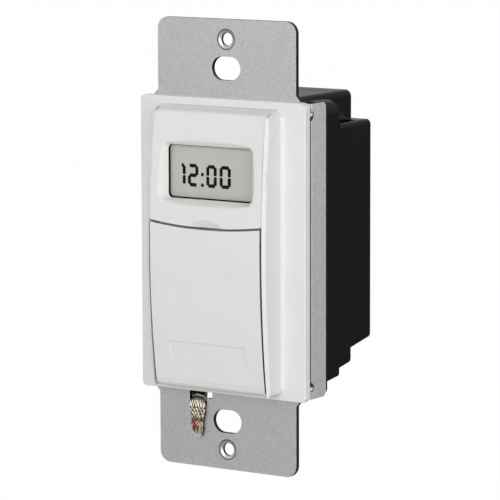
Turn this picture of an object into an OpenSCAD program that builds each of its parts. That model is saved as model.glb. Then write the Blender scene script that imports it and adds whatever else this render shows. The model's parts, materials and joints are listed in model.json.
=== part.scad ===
// Timer light switch for a single wall box: display above, hinged door below
// Millimetres. X runs to the right seen from the front, Y into the wall, Z up.
// The origin is on the strap's rear face, midway between the box-screw slots.

/* [Strap] */
// Length over both ears
strap_length = 106.3; // [104:0.1:110]
// Width of each ear
ear_width = 38.4; // [36:0.1:40]
// Corner radius of an ear
ear_radius = 2.8; // [1.5:0.1:4]
// Thickness of the steel
strap_t = 1.2; // [1.0:0.05:1.4]
// Width over the side walls
strap_width = 45.2; // [44.6:0.1:46]
// Height of the side walls
wall_height = 68.8; // [68:0.1:69.4]
// How far the side walls reach behind the strap
wall_back = 6.35; // [6:0.05:7]
// Outside radius of the bend into a side wall
bend_r = 1.8; // [1.5:0.1:2.4]
// Distance between the two plate-screw holes
plate_hole_pitch = 96.84; // [96:0.02:97.5]
// Radius of a plate-screw hole, tapped 6-32
plate_hole_r = 1.5; // [1.4:0.05:1.6]
// Distance between the two box-screw slots
box_slot_pitch = 83.34; // [82.5:0.02:84]
// Length of a box-screw slot
box_slot_length = 7.85; // [7:0.05:9]
// Width of a box-screw slot
box_slot_width = 5.5; // [5:0.05:6]

/* [Front cover] */
// Height of the cover's flange
flange_h = 69.6; // [69.2:0.1:70.4]
// Thickness of the flange
flange_t = 2; // [1.8:0.05:2.4]
// Radius along the flange's front edge
flange_edge_r = 0.3; // [0.2:0.1:1]
// Width of the collar that fills the wall plate's opening
collar_w = 33.1; // [32.9:0.05:33.3]
// Height of the collar
collar_h = 66.6; // [66.2:0.05:66.7]
// Draft of the collar's bottom, run over depth
bottom_draft = 0.06; // [0.03:0.01:0.08]
// Slope of the collar's top in front of its crest, drop over depth
top_slope = 0.52; // [0.4:0.01:0.6]
// Thickness of a collar rail
rail_t = 0.9; // [0.7:0.05:1.1]
// How far the rails stand in front of the wall at mid height
rail_front = 10.6; // [10.2:0.1:10.8]
// Radius of the rails' bow
rail_bow_r = 265; // [240:5:300]
// Radius along the outer front edge of a rail
rail_edge_r = 1; // [0.5:0.1:1.2]
// Radius of the fillet at the collar's foot
foot_r = 1; // [0.5:0.1:1.5]

/* [Display] */
// How far the door stands in front of the wall at mid height
face_front = 10.9; // [10.6:0.1:11.2]
// How far the panel stands back from the door's face
panel_inset = 0.3; // [0:0.05:0.5]
// Radius of the panel's and the door's bow
face_bow_r = 213; // [200:1:240]
// Width of the display window
window_w = 23.2; // [20:0.1:24]
// Height of the display window
window_h = 12.5; // [11:0.1:13]
// Height of the window's centre above the middle of the switch
window_z = 17.85; // [17:0.05:18.5]
// Slope of the dished surround, its width over its depth
dish_slope = 0.9; // [0.7:0.05:1.1]

/* [Door] */
// Gap beside the panel
panel_gap = 0.3; // [0.25:0.05:0.5]
// Gap beside the door
door_gap = 0.5; // [0.3:0.05:0.6]
// Width of the curved gap between the panel and the door
split_gap = 0.48; // [0.3:0.02:0.6]
// Lowest point of that gap
split_z = 5.1; // [4.8:0.1:5.6]
// Radius of its curve
split_r = 111; // [90:1:140]
// Thickness of the door
door_t = 1.6; // [1.4:0.05:1.8]
// Thickness of the lip along the door's sides and top
lip_t = 0.7; // [0.6:0.05:1]
// Height of the hinge axis
hinge_z = -31.45; // [-31.6:0.05:-31.2]
// Radius of the knuckle along the door's lower edge
knuckle_r = 1.75; // [1.5:0.05:1.8]
// Radius of the hinge pin
pin_r = 0.75; // [0.6:0.05:0.85]

/* [Buttons] */
// Height of the on/off button's centre
upper_row_z = 0.6; // [0.2:0.1:1]
// Height of the lower row of buttons
lower_row_z = -6.2; // [-6.6:0.1:-5.8]
// Distance from the plus button to its neighbours
row_pitch = 9; // [8.6:0.1:9.2]
// Distance of the reset button from the middle
reset_x = 11.5; // [11:0.1:11.8]
// Width of the on/off button
on_off_w = 12; // [10:0.1:12.4]
// Height of the on/off button
on_off_h = 4.4; // [4:0.1:4.6]
// Width of a small button
small_w = 5.4; // [4.8:0.1:5.6]
// Height of a small button
small_h = 3.6; // [3:0.1:3.8]
// Radius of the reset button
reset_r = 1.3; // [1:0.05:1.5]

/* [Rear housing] */
// Depth of the housing behind the wall
housing_depth = 29.1; // [28.5:0.1:31]
// Depth of the wide front body
body_depth = 15; // [14.6:0.1:15.6]
// Width of the tall upper block
tower_w = 31.2; // [30:0.1:32]
// Thickness of the housing's walls
housing_t = 1.4; // [1.2:0.05:1.6]

/* [Battery] */
// Radius of the cell
cell_r = 7.8; // [7.6:0.05:7.8]
// Length of the cell
cell_length = 27; // [26.5:0.1:27.1]

/* [Hidden] */
$fn = 48;

// Colours
white = [0.93, 0.93, 0.91];
zinc = [0.70, 0.71, 0.72];
steel = [0.62, 0.63, 0.65];
black = [0.09, 0.09, 0.10];
green = [0.05, 0.25, 0.12];
copper = [0.72, 0.50, 0.38];
board_green = [0.10, 0.35, 0.18];
display_grey = [0.70, 0.71, 0.67];
clear = [0.85, 0.88, 0.88, 0.4];
cap_grey = [0.80, 0.80, 0.79];
stem_grey = [0.20, 0.20, 0.20];
strip_grey = [0.75, 0.75, 0.78];
relay_blue = [0.12, 0.16, 0.30];
film_yellow = [0.72, 0.55, 0.12];
can_blue = [0.14, 0.16, 0.22];
disc_blue = [0.15, 0.30, 0.62];
resistor_tan = [0.70, 0.62, 0.48];
cell_grey = [0.30, 0.31, 0.33];

// Clearances
slip = 0.2;
tight = 0.05;
run = 0.03;
reach = 5;

// Strap
strap_front = -strap_t;
shoulder_z = 36.2;
shoulder_x = strap_width/2 - bend_r;
strap_window_w = 32;
ring_w = strap_width/2 - strap_t - strap_window_w/2;
strap_window_top = 32.4;
strap_window_bottom = -30.8;
notch_start_z = 29.2;
notch_end_z = 32.6;
notch_back = 1.15;
notch_step_back = 0.1;
wall_corner_r = 1.2;
notch_inner_x = strap_width/2 - strap_t - 1;
countersink_r = 2.4;
countersink_depth = 0.45;

// Ground wire
ground_x = -8.25;
ground_z = -36.6;
ground_bend_r = 4.25;
ground_insulation_r = 1.95;
ground_slot_w = 4.9;
ground_slot_h = 3.4;
strand_count = 6;
strand_r = 0.42;
strand_pitch = 0.68;
weld_top_z = -42.6;
weld_end_z = -46;
weld_w = 3;
weld_corner_r = 0.8;
ground_notch_w = 1.5;
ground_notch_h = 1.8;
ground_inner_end_z = -31.6;
lead_tilt = asin(0.6);
lead_lean = 25;
lead_end_x = ground_x - 1.55;
lead_end_y = ground_insulation_r*sin(lead_tilt) + 0.1;
lead_end_z = ground_z - 1.2;
lead_rise = (ground_inner_end_z - lead_end_z)/cos(lead_lean) - ground_bend_r*cos(lead_tilt);

// Cover
flange_overhang = 0.3;
flange_w = strap_width + 2*flange_overhang;
flange_front = strap_front - flange_t;
flange_corner_r = 1.4;
collar_top = 33;
collar_bottom = collar_top - collar_h;
collar_corner_r = 1.5;
deck_front = -6;
deck_t = 1.3;
deck_back = deck_front + deck_t;
inner_w = collar_w - 2*rail_t;
panel_w = inner_w - 2*panel_gap;
crest_y = -5.5;
lower_wall_t = 0.7;
lower_wall_front = -5.5;
void_w = 30.4;
void_top = 31.9;
void_bottom = -31.9;
hook_gap = 0.25;
hook_bottom_z = 31.35;
hook_back = 1;
hook_tip_front = -0.3;
hook_arm_w = 0.9;
collar_reach = face_front + 1 + flange_front;

// Display
dish_back = -8.2;
window_front = -7.8;
window_back = -7.4;
glass_front = -7.35;
glass_back = -5.25;
window_corner_r = 1.1;
window_edge = 1.3;
pane_w = window_w + 2*window_edge;
pane_h = window_h + 2*window_edge;
glass_edge = 1.5;
glass_w = window_w + 2*glass_edge;
strip_room = 3.9;
glass_h = window_h + 2*strip_room;
holder_wall = 0.9;
holder_w = glass_w + 2*holder_wall;
holder_h = glass_h + 2*holder_wall;
strip_w = glass_w - 0.8;
strip_t = 1.9;
strip_z = (glass_h - strip_t)/2 - 0.4;
dish_rise = 1;
oval_power = 4;
groove_depth = 0.4;
thumb_r = 7.5;
thumb_top = 7.45;
thumb_sphere_r = 15.5;
thumb_y = panel_inset - face_front - sqrt(pow(thumb_sphere_r, 2) - thumb_r*thumb_r);

// Door
face_axis_y = face_bow_r - face_front;
hinge_y = face_axis_y - sqrt(pow(face_bow_r - knuckle_r, 2) - hinge_z*hinge_z);
door_w = inner_w - 2*door_gap;
lip_w = 1.2;
plate_w = 21.2;
plate_h = 4.4;
plate_z = -24.2;
plate_depth = 0.35;
pin_length = collar_w - 0.6;
presser_front = door_t - face_front - 0.2;
presser_back = -8;
presser_w = 8;
presser_h = 3;

// Housing
housing_w = strap_width - 2*strap_t - 0.8;
body_top = 34;
body_bottom = -31.1;
body_bottom_t = 1;
body_corner_r = 3.2;
front_box_w = strap_width - 2*strap_t - 2*slip;
front_box_top = 33.8;
front_box_bottom = -33.6;
rim_t = 0.85;
rim_w = strap_width - 0.2;
rim_top = 34.2;
rim_bottom = -33.9;
rim_corner_r = 1;
ledge_depth = 21;
ledge_w = housing_w - 1;
ledge_bottom = -28.6;
block_top = 28.4;
block_bottom = -23.6;
block_corner_r = 1.2;
draft = 0.178;
tower_top = 35.1;
tower_h = 20;
tower_corner_r = 1.6;
fillet_r = 2;
pocket_depth = 2;
pocket_wall = 1.4;
pocket_x = tower_w/2 + fillet_r/2;
pocket_back = 24.5;
seam_y = 23.5;
seam_w = 0.4;
boss_x = (strap_window_w + ring_w)/2;
boss_z = 27;
boss_r = 0.44*ring_w;
boss_back = 9;
housing_screw_r = 0.46*boss_r;
housing_screw_end = 7.5;
screw_head_r = 0.84*boss_r;
screw_head_t = 1.2;
lead_slot_w = 15;
lead_slot_h = 4.8;
lead_slot_z = -15;

// Boards and what they carry
board_t = 1.6;
control_front = 0.4;
control_back = control_front + board_t;
control_w = 31.2;
control_top = 32.2;
control_bottom = -10;
power_back = body_depth - housing_t;
power_front = power_back - board_t;
power_w = housing_w - 2*housing_t - 0.6;
power_top = 30.6;
power_bottom = -28.6;
switch_w = 6;
switch_h = 3.5;
switch_front = control_front - switch_h;
stem_r = 1.7;
stem_out = 0.8;
stem_front = switch_front - stem_out;
stem_length = 1.7;
stem_room = 0.6;
stem_gap = 0.15;
post_r = 1.45;
upper_post_x = 12;
upper_post_z = 30.6;
lower_post_x = 14.2;
lower_post_z = -8.6;
board_screw_r = 0.8;
board_screw_head_r = 1.4;
board_screw_head_t = 1;
chip_w = 7;
chip_t = 1.6;
chip_z = 14;
chip_pin_count = 8;
chip_pin_pitch = 0.8;
chip_pin_w = 0.4;
crystal_w = 11;
crystal_h = 4.6;
crystal_t = 3.5;
crystal_z = 3;
header_pin_count = 8;
header_pitch = 2.54;
header_pin_r = 0.35;
header_h = 2.4;
header_t = 2.5;
header_z = 27;
board_gap = 0.15;
part_gap = 0.5;
part_z = 5;
relay_w = 15.4;
relay_h = 19;
relay_t = 13;
relay_x = part_gap + (relay_w - power_w)/2;
film_w = 8.4;
film_h = 18;
film_t = 12.4;
film_x = relay_x + part_gap + (relay_w + film_w)/2;
can_r = 4;
can_t = 11.5;
can_x = film_x + part_gap + film_w/2 + can_r;
part_corner_r = 0.7;
disc_r = 5;
disc_t = 4.4;
disc_lift = 0.6;
disc_leg_r = 0.3;
disc_z = -13;
resistor_r = 2.2;
resistor_length = 11;
resistor_x = film_x + part_gap;
resistor_z = -12;

// Buttons: front of each cap, and the lip that keeps it behind the deck
on_off_front = -7.9;
row_front = -7.2;
reset_front = -6.3;
lip_front = deck_back + 0.1;
lip_edge = 0.8;

// Battery
cell_front = -5;
cell_y = cell_front + cell_r;
cell_z = -20.25;
tray_front = -6.4;
tray_front_t = 1.2;
tray_wall = 0.8;
contact_room = 1.1;
tray_w = cell_length + 2*contact_room;
tray_h = 2*cell_r + 1.7;
tray_back = cell_y + cell_r + 0.3;
bay_wall = 0.7;
bay_w = tray_w + 2*slip;
bay_h = tray_h + 2*slip;
bay_back = tray_back + 0.3;
contact_t = 0.25;
contact_w = 8;
grip_w = 9;
grip_h = 1.6;
grip_depth = 0.6;

// Extrusion along Y of an outline drawn in X and Z
module along_y(y0, y1) {
    translate([0, y1, 0])
        rotate([90, 0, 0])
            linear_extrude(y1 - y0)
                children();
}

// Extrusion along X of an outline drawn in Y and Z
module along_x(x0, x1) {
    translate([x0, 0, 0])
        rotate([90, 0, 90])
            linear_extrude(x1 - x0)
                children();
}

// Rod along Y
module rod_y(r, y0, y1, x = 0, z = 0) {
    translate([x, y1, z])
        rotate([90, 0, 0])
            cylinder(r = r, h = y1 - y0);
}

// Rod along X
module rod_x(r, x0, x1, y = 0, z = 0) {
    translate([x0, y, z])
        rotate([0, 90, 0])
            cylinder(r = r, h = x1 - x0);
}

// Rectangle between two heights, centred on x
module band(w, z0, z1, x = 0) {
    translate([x - w/2, z0])
        square([w, z1 - z0]);
}

// Rectangle with round corners, centred
module rounded(w, h, r) {
    square([w - 2*r, h], center = true);
    square([w, h - 2*r], center = true);
    for (sx = [-1, 1], sy = [-1, 1])
        translate([sx*(w/2 - r), sy*(h/2 - r)])
            circle(r);
}

// Slot with round ends, longer in its first direction
module obround(w, h) {
    square([w - h, h], center = true);
    for (sx = [-1, 1])
        translate([sx*(w - h)/2, 0])
            circle(h/2);
}

// Block given by its two opposite corners
module block(from, to) {
    translate(from)
        cube(to - from);
}

// The bowed solid whose front is the face of the panel and the door, set back by an inset
module face_bow(inset = 0) {
    translate([-strap_width/2, face_axis_y, 0])
        rotate([0, 90, 0])
            cylinder(r = face_bow_r - inset, h = strap_width, $fn = 720);
}

// The bowed solid whose front is the round-edged front of the rails
module rail_bow() {
    translate([0, rail_bow_r - rail_front, 0])
        rotate([0, 90, 0])
            rotate_extrude($fn = 720)
                translate([rail_bow_r - collar_w/2, 0])
                    rounded(collar_w, collar_w, rail_edge_r);
}

// Copies on the left and right
module both_sides() {
    children();
    mirror([1, 0, 0])
        children();
}

// Copies at the four corners
module four_corners() {
    both_sides() {
        children();
        mirror([0, 0, 1])
            children();
    }
}

// Outline of the strap's flat steel, ears and shoulders
module strap_outline() {
    rounded(ear_width, strap_length, ear_radius);
    polygon([[-shoulder_x, -wall_height/2], [-ear_width/2, -shoulder_z], [ear_width/2, -shoulder_z],
        [shoulder_x, -wall_height/2], [shoulder_x, wall_height/2], [ear_width/2, shoulder_z],
        [-ear_width/2, shoulder_z], [-shoulder_x, wall_height/2]]);
}

// Section of the channel: a flat web and two walls bent back
module channel_section() {
    translate([-shoulder_x, strap_front])
        square([2*shoulder_x, strap_t]);
    for (side = [-1, 1]) {
        intersection() {
            translate([side*shoulder_x, strap_front + bend_r])
                difference() {
                    circle(bend_r);
                    circle(bend_r - strap_t);
                }
            translate([side > 0 ? shoulder_x : -strap_width/2, strap_front])
                square([bend_r, bend_r]);
        }
        translate([side > 0 ? strap_width/2 - strap_t : -strap_width/2, strap_front + bend_r])
            square([strap_t, wall_back - strap_front - bend_r]);
    }
}

// Corner notch of a side wall, where a hook of the cover goes in
module notch_outline() {
    polygon([[strap_front - 1, notch_start_z], [strap_front + 0.1, notch_start_z],
        [notch_back, notch_end_z - 1.3], [notch_back, notch_end_z], [notch_step_back, notch_end_z],
        [notch_step_back, wall_height/2 + 1], [strap_front - 1, wall_height/2 + 1]]);
}

// Side view of a hook of the cover, with the skirt that fills the notch above it
module hook_outline() {
    skirt_back = notch_step_back - hook_gap/2;
    polygon([[strap_front, hook_bottom_z], [hook_back - hook_gap, hook_bottom_z + hook_gap],
        [hook_back, notch_end_z - hook_gap], [skirt_back, notch_end_z - hook_gap],
        [skirt_back, wall_height/2], [strap_front, wall_height/2]]);
}

// Hook: an arm behind the flange and a tip beside it that catches the strap
module hook() {
    inner_x = notch_inner_x + hook_gap;
    difference() {
        along_x(inner_x, strap_width/2 - hook_gap)
            hook_outline();
        block([inner_x + hook_arm_w, strap_front, hook_bottom_z - 1],
            [strap_width/2, hook_tip_front, notch_end_z - hook_gap]);
    }
}

module mounting_strap() {
    color(zinc)
        difference() {
            union() {
                along_y(strap_front, 0)
                    strap_outline();
                intersection() {
                    translate([0, 0, -wall_height/2])
                        linear_extrude(wall_height)
                            channel_section();
                    along_x(-strap_width/2, strap_width/2)
                        rounded(2*wall_back, wall_height, wall_corner_r);
                }
            }
            along_y(strap_front - 1, 1)
                band(strap_window_w, strap_window_bottom, strap_window_top);
            for (end = [-1, 1]) {
                rod_y(plate_hole_r, strap_front - 1, 1, z = end*plate_hole_pitch/2);
                translate([0, strap_front, end*plate_hole_pitch/2])
                    rotate([-90, 0, 0])
                        cylinder(r1 = countersink_r, r2 = plate_hole_r, h = countersink_depth);
                along_y(strap_front - 1, 1)
                    translate([0, end*box_slot_pitch/2])
                        obround(box_slot_length, box_slot_width);
            }
            along_y(strap_front - 1, 1)
                translate([ground_x, ground_z]) {
                    square([ground_slot_w, ground_slot_h], center = true);
                    translate([ground_slot_w/2, ground_slot_h/2 - ground_notch_h])
                        square([ground_notch_w, ground_notch_h]);
                }
            four_corners() {
                along_x(notch_inner_x, strap_width/2 + 1)
                    notch_outline();
                rod_y(housing_screw_r + slip, strap_front - 1, 1, boss_x, boss_z);
            }
        }
}

// One strand: flat on the strap, round the edge of the slot and through it
module strand(x) {
    bend = strand_r + 0.3;
    rod_start = ground_z - ground_slot_h/2 + tight;
    y = strap_front - strand_r;
    translate([x, y, weld_top_z - 1])
        cylinder(r = strand_r, h = rod_start - weld_top_z + 1, $fn = 16);
    translate([x, y + bend, rod_start])
        rotate([0, 90, 0])
            rotate([0, 0, 180])
                rotate_extrude(angle = 90, $fn = 32)
                    translate([bend, 0])
                        circle(strand_r, $fn = 16);
    rod_y(strand_r, y + bend, control_front - tight, x, rod_start + bend, $fn = 16);
}

module ground_strands() {
    color(copper) {
        for (i = [0 : strand_count - 1])
            strand(ground_x + (i - (strand_count - 1)/2)*strand_pitch);
        along_y(strap_front - 2*strand_r, strap_front)
            translate([ground_x, (weld_top_z + weld_end_z)/2])
                rounded(weld_w, weld_top_z - weld_end_z, weld_corner_r);
    }
}

// Insulated lead: down from the housing, leaning to one side, and bent towards the slot
module lead_route(r) {
    translate([lead_end_x, lead_end_y, lead_end_z])
        rotate([0, -lead_lean, 0])
            translate([0, -ground_bend_r*sin(lead_tilt), ground_bend_r*cos(lead_tilt)])
                union() {
                    rotate([lead_tilt, 0, 0])
                        rotate([0, 90, 0])
                            rotate_extrude(angle = 90 - lead_tilt)
                                translate([ground_bend_r, 0])
                                    circle(r);
                    translate([0, ground_bend_r, 0])
                        cylinder(r = r, h = lead_rise);
                }
}

module ground_lead() {
    color(green)
        lead_route(ground_insulation_r);
}

// Outline of the panel and the door together, open at the collar's top
module face_outline(gap = 0) {
    foot = collar_bottom + lower_wall_t + (gap > 0 ? 0 : panel_gap);
    band(panel_w + 2*gap, foot, collar_top + gap);
}

// Round-edged flange that rests on the strap
module flange() {
    intersection() {
        along_y(flange_front, strap_front)
            rounded(flange_w, flange_h, flange_corner_r);
        translate([0, 0, -flange_h/2])
            linear_extrude(flange_h)
                soft_edge(flange_w);
        rotate([0, -90, 0])
            translate([0, 0, -flange_w/2])
                linear_extrude(flange_w)
                    soft_edge(flange_h);
    }
}

// Section of the flange with its front edges rounded
module soft_edge(w) {
    intersection() {
        translate([0, flange_front + flange_t])
            rounded(w, 2*flange_t, flange_edge_r);
        translate([-w/2, flange_front])
            square([w, flange_t]);
    }
}

// Drafted solid that the rails and the panel are cut from
module collar_body() {
    side = collar_w/2;
    lean = collar_reach*bottom_draft;
    drop = (face_front + 1 + crest_y)*top_slope;
    intersection() {
        along_y(-face_front - 1, strap_front)
            translate([0, (collar_top + collar_bottom)/2])
                rounded(collar_w, collar_h, collar_corner_r);
        along_x(-side, side)
            polygon([[strap_front, collar_bottom], [flange_front, collar_bottom],
                [-face_front - 1, collar_bottom + lean], [-face_front - 1, collar_top - drop],
                [crest_y, collar_top], [strap_front, collar_top]]);
    }
}

// Collar with the recess for the panel and the door in front, and a void behind its deck
module collar() {
    difference() {
        intersection() {
            collar_body();
            rail_bow();
        }
        along_y(-face_front - reach, deck_front)
            face_outline(panel_gap);
        along_y(-face_front - reach, lower_wall_front)
            band(inner_w, collar_bottom - 1, collar_bottom + reach);
        along_y(deck_back, strap_front + 1)
            band(void_w, void_bottom, void_top);
    }
}

// Fillet along the foot of each side of the collar
module foot_fillet() {
    both_sides()
        translate([collar_w/2, flange_front, collar_bottom + collar_corner_r])
            linear_extrude(collar_h - 2*collar_corner_r)
                difference() {
                    translate([-slip, -foot_r])
                        square([foot_r + slip, foot_r + slip]);
                    translate([foot_r, -foot_r])
                        circle(foot_r);
                }
}

// Walls of the battery bay, closed at the back
module battery_bay() {
    along_y(deck_back - 0.5, bay_back + bay_wall)
        translate([0, cell_z])
            square([bay_w + 2*bay_wall, bay_h + 2*bay_wall], center = true);
}

// Places of the posts that carry the control board
module at_posts() {
    both_sides() {
        translate([upper_post_x, 0, upper_post_z])
            children();
        translate([lower_post_x, 0, lower_post_z])
            children();
    }
}

module front_cover() {
    color(white)
        difference() {
            union() {
                difference() {
                    flange();
                    along_y(flange_front - 1, strap_front + 1)
                        band(void_w, void_bottom, void_top);
                }
                collar();
                foot_fillet();
                battery_bay();
                at_posts()
                    rod_y(post_r, deck_back - 0.5, control_front);
                four_corners()
                    hook();
            }
            along_y(deck_front - 1, deck_back + 1)
                translate([0, window_z])
                    square([holder_w + 2*slip, holder_h + 2*slip], center = true);
            along_y(deck_front - 1, bay_back)
                translate([0, cell_z])
                    square([bay_w, bay_h], center = true);
            along_y(deck_front - 1, deck_back)
                band(inner_w, collar_bottom + lower_wall_t, hinge_z + knuckle_r + slip);
            along_y(deck_front - 1, deck_back + 1) {
                translate([0, upper_row_z])
                    obround(on_off_w + 2*slip, on_off_h + 2*slip);
                for (i = [-1, 0, 1])
                    translate([i*row_pitch, lower_row_z])
                        obround(small_w + 2*slip, small_h + 2*slip);
                translate([reset_x, upper_row_z])
                    circle(reset_r + slip);
            }
            rod_x(pin_r + run, -pin_length/2 - tight, pin_length/2 + tight, hinge_y, hinge_z);
            at_posts()
                rod_y(board_screw_r + tight, deck_back + 1, control_front + 1);
            four_corners()
                rod_y(screw_head_r + slip, strap_front - screw_head_t - slip, strap_front + 1,
                    boss_x, boss_z);
        }
}

// Oval whose sides are nearly straight
module oval(w, h) {
    polygon([for (a = [0:5:355])
        [w/2*sign(cos(a))*pow(abs(cos(a)), 2/oval_power),
        h/2*sign(sin(a))*pow(abs(sin(a)), 2/oval_power)]]);
}

// Recess around the display window, from the window's outline to an oval in front of the face
module dish() {
    depth = face_front + 1 + dish_back;
    spread = 2*depth*dish_slope;
    hull() {
        along_y(dish_back - 0.01, dish_back)
            translate([0, window_z])
                rounded(window_w, window_h, window_corner_r, $fn = 32);
        along_y(dish_back - depth - 0.01, dish_back - depth)
            translate([0, window_z + dish_rise])
                oval(window_w + spread, window_h + spread);
    }
}

// Panel before its openings are cut
module panel_blank(gap, inset) {
    intersection() {
        along_y(-face_front - 1, deck_front)
            intersection() {
                face_outline(gap);
                translate([0, split_z + split_r])
                    circle(split_r - split_gap/2, $fn = 360);
            }
        face_bow(inset);
        collar_body();
    }
}

module display_panel() {
    color(white)
        difference() {
            union() {
                panel_blank(0, panel_inset);
                panel_blank(panel_gap - tight, panel_inset + groove_depth);
            }
            dish();
            along_y(dish_back - 0.1, deck_front + 1)
                translate([0, window_z])
                    rounded(window_w, window_h, window_corner_r);
            along_y(window_front, deck_front + 1)
                translate([0, window_z])
                    square([pane_w + 2*tight, pane_h + 2*tight], center = true);
            along_y(window_back, deck_front + 1)
                translate([0, window_z])
                    square([holder_w + 2*slip, holder_h + 2*slip], center = true);
            translate([0, thumb_y, thumb_top - thumb_r])
                sphere(thumb_sphere_r, $fn = 96);
        }
}

module display_window() {
    color(clear)
        along_y(window_front, window_back)
            translate([0, window_z])
                square([pane_w, pane_h], center = true);
}

module display_holder() {
    color(black)
        difference() {
            along_y(glass_front, control_front)
                translate([0, window_z])
                    square([holder_w, holder_h], center = true);
            along_y(glass_front - 1, glass_back)
                translate([0, window_z])
                    square([glass_w + 2*tight, glass_h + 2*tight], center = true);
            along_y(glass_back - 1, control_front + 1)
                translate([0, window_z]) {
                    square([window_w + holder_wall, window_h + holder_wall], center = true);
                    for (end = [-1, 1])
                        translate([0, end*strip_z])
                            square([strip_w + 2*tight, strip_t + 2*tight], center = true);
                }
        }
}

module display_glass() {
    color(display_grey)
        along_y(glass_front, glass_back)
            translate([0, window_z])
                square([glass_w, glass_h], center = true);
}

// Rubber strip that joins the glass to the board
module contact_strip(end) {
    color(strip_grey)
        along_y(glass_back, control_front)
            translate([0, window_z + end*strip_z])
                square([strip_w, strip_t], center = true);
}

module upper_contact_strip() {
    contact_strip(1);
}

module lower_contact_strip() {
    contact_strip(-1);
}

module control_board() {
    color(board_green)
        difference() {
            along_y(control_front, control_back)
                band(control_w, control_bottom, control_top);
            at_posts()
                rod_y(board_screw_r + slip, control_front - 1, control_back + 1);
        }
}

module microcontroller() {
    color(black)
        along_y(control_back + board_gap, control_back + chip_t)
            translate([0, chip_z])
                square(chip_w, center = true);
    color(steel)
        for (turn = [0 : 90 : 270], i = [0 : chip_pin_count - 1])
            translate([0, control_back, chip_z])
                rotate([0, turn, 0])
                    translate([chip_w/2 - board_gap, 0, (i - (chip_pin_count - 1)/2)*chip_pin_pitch])
                        translate([0, 0, -chip_pin_w/2])
                            cube([1 + board_gap, 2*board_gap, chip_pin_w]);
}

module crystal() {
    color(steel)
        along_y(control_back, control_back + crystal_t)
            translate([0, crystal_z])
                obround(crystal_w, crystal_h);
}

// The five places of the push switches, in the order on/off, mode, plus, minus, reset
function switch_place(i) = [[0, upper_row_z], [-row_pitch, lower_row_z], [0, lower_row_z],
    [row_pitch, lower_row_z], [reset_x, upper_row_z]][i];

module switch_bodies() {
    color(black)
        for (i = [0 : 4])
            translate([switch_place(i)[0], 0, switch_place(i)[1]])
                difference() {
                    along_y(switch_front, control_front)
                        square(switch_w, center = true);
                    rod_y(stem_r + stem_gap, switch_front - 1, stem_front + stem_length + stem_room);
                }
}

// Stem of one push switch
module stem(i) {
    color(stem_grey)
        rod_y(stem_r, stem_front, stem_front + stem_length, switch_place(i)[0], switch_place(i)[1]);
}

// Cap of one button with the lip that keeps it behind the deck
module button(i, w, h, front) {
    color(cap_grey)
        translate([switch_place(i)[0], 0, switch_place(i)[1]]) {
            along_y(front, lip_front)
                obround(w, h);
            along_y(lip_front, stem_front)
                obround(w + 2*lip_edge, h + 2*lip_edge);
        }
}

module on_off_button() {
    button(0, on_off_w, on_off_h, on_off_front);
}

module on_off_stem() {
    stem(0);
}

module mode_button() {
    button(1, small_w, small_h, row_front);
}

module mode_stem() {
    stem(1);
}

module plus_button() {
    button(2, small_w, small_h, row_front);
}

module plus_stem() {
    stem(2);
}

module minus_button() {
    button(3, small_w, small_h, row_front);
}

module minus_stem() {
    stem(3);
}

module reset_button() {
    color(cap_grey)
        translate([reset_x, 0, upper_row_z]) {
            rod_y(reset_r, reset_front, lip_front);
            rod_y(reset_r + lip_edge, lip_front, stem_front);
        }
}

module reset_stem() {
    stem(4);
}

module board_header() {
    color(black)
        along_y(control_back, control_back + header_t)
            translate([0, header_z])
                square([header_pin_count*header_pitch, header_h], center = true);
    color(steel)
        for (i = [0 : header_pin_count - 1])
            rod_y(header_pin_r, control_back + header_t, power_front,
                (i - (header_pin_count - 1)/2)*header_pitch, header_z, $fn = 12);
}

module power_board() {
    color(board_green)
        along_y(power_front, power_back)
            band(power_w, power_bottom, power_top);
}

module relay() {
    color(relay_blue)
        along_y(power_back, power_back + relay_t)
            translate([relay_x, part_z])
                rounded(relay_w, relay_h, part_corner_r);
}

module film_capacitor() {
    color(film_yellow)
        along_y(power_back, power_back + film_t)
            translate([film_x, part_z])
                rounded(film_w, film_h, part_corner_r);
}

module electrolytic_capacitor() {
    color(can_blue)
        rod_y(can_r, power_back, power_back + can_t, can_x, part_z);
}

module varistor() {
    color(disc_blue)
        translate([relay_x, power_back + disc_lift + disc_r, disc_z])
            cylinder(r = disc_r, h = disc_t, center = true);
    color(steel)
        for (side = [-1, 1])
            rod_y(disc_leg_r, power_back, power_back + disc_r/2, relay_x + side*disc_r/2, disc_z, $fn = 12);
}

module dropping_resistor() {
    color(resistor_tan)
        rod_x(resistor_r, resistor_x, resistor_x + resistor_length, power_back + resistor_r, resistor_z);
}

// Side view of one body of the housing: flat top, lower face rising towards the back
module drafted(y0, y1, bottom, top) {
    polygon([[y0, bottom - (y1 - y0)*draft], [y1, bottom], [y1, top], [y0, top]]);
}

// Front view of the wide body, rounded at its upper corners
module body_outline() {
    r = body_corner_r;
    band(housing_w, body_bottom - reach, body_top - r);
    band(housing_w - 2*r, body_top - 2*r, body_top);
    for (side = [-1, 1])
        translate([side*(housing_w/2 - r), body_top - r])
            circle(r);
}

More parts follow.
